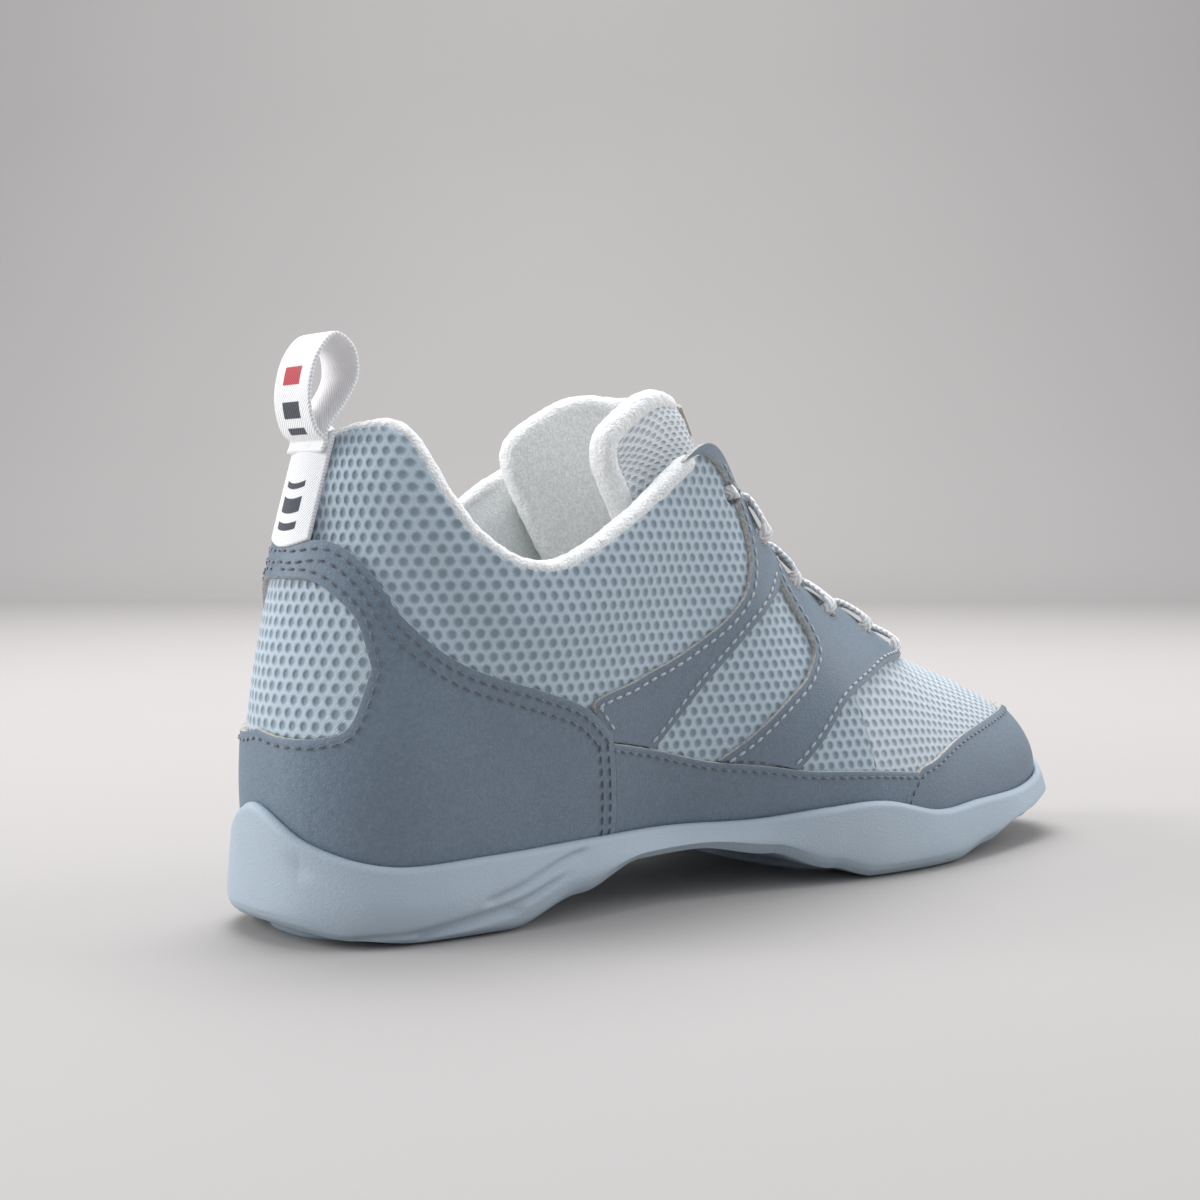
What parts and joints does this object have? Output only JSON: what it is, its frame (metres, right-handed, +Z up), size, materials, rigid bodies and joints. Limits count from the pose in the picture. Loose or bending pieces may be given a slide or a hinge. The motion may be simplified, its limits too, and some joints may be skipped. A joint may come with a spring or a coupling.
{
  "type": "cheer shoe",
  "caption": "Left cheer shoe: low mesh upper with leather-look overlays, padded collar and tongue, threaded lace, heel pull loop and one-piece foam sole.",
  "frame": {"origin": "centre of the heel tread, on the ground", "axes": "+X to the toe, +Y to the outer (lateral) side, +Z up"},
  "size_m": [0.2566, 0.087, 0.1287],
  "materials": {
    "overlay": "fine-grain blue-grey synthetic leather, satin",
    "mesh": "pale blue-white knitted spacer mesh",
    "lining": "white brushed lining",
    "terry": "cream-white looped terry",
    "foam": "open-cell foam",
    "board": "fibre board",
    "sole_foam": "pale blue-white moulded foam, satin",
    "tread_rubber": "matt rubber",
    "lace": "white braided lace",
    "webbing": "white woven twill tape"
  },
  "bodies": {
    "shoe": {"midsole": "sole_foam", "heel_tread": "tread_rubber", "ball_tread": "tread_rubber", "lasting_board": "board", "sock_liner": "foam", "heel_window_mesh": "mesh", "quarter_mesh_medial": "mesh", "quarter_mesh_lateral": "mesh", "quarter_lining_medial": "lining", "quarter_lining_lateral": "lining", "vamp_mesh": "mesh", "vamp_lining": "lining", "heel_counter": "board", "collar_foam_medial": "foam", "collar_foam_lateral": "foam", "eyelet_backing_medial": "board", "eyelet_backing_lateral": "board", "toe_puff": "board", "heel_overlay": "overlay", "toe_cap_overlay": "overlay", "foxing_medial": "overlay", "foxing_lateral": "overlay", "rear_strap_medial": "overlay", "rear_strap_lateral": "overlay", "front_strap_medial": "overlay", "front_strap_lateral": "overlay", "collar_binding": "terry", "lace": "lace", "pull_loop_legs": "webbing"},
    "tongue": {"tongue_shell": "mesh", "tongue_foam": "foam", "tongue_lining": "lining", "tongue_edge": "terry"},
    "pull_loop": {"pull_loop": "webbing"}
  },
  "joints": [
    {"name": "tongue_hinge", "type": "hinge", "parent": "shoe", "child": "tongue", "pos_m": [0.17, 0, 0.0425], "axis": [0, 1, 0], "range_deg": [-6, 0], "stiffness_Nm_per_rad": 0.5},
    {"name": "pull_loop_hinge", "type": "hinge", "parent": "shoe", "child": "pull_loop", "pos_m": [-0.0166, 0, 0.1065], "axis": [0, 1, 0], "range_deg": [-75, 15], "stiffness_Nm_per_rad": 0.02}
  ]
}
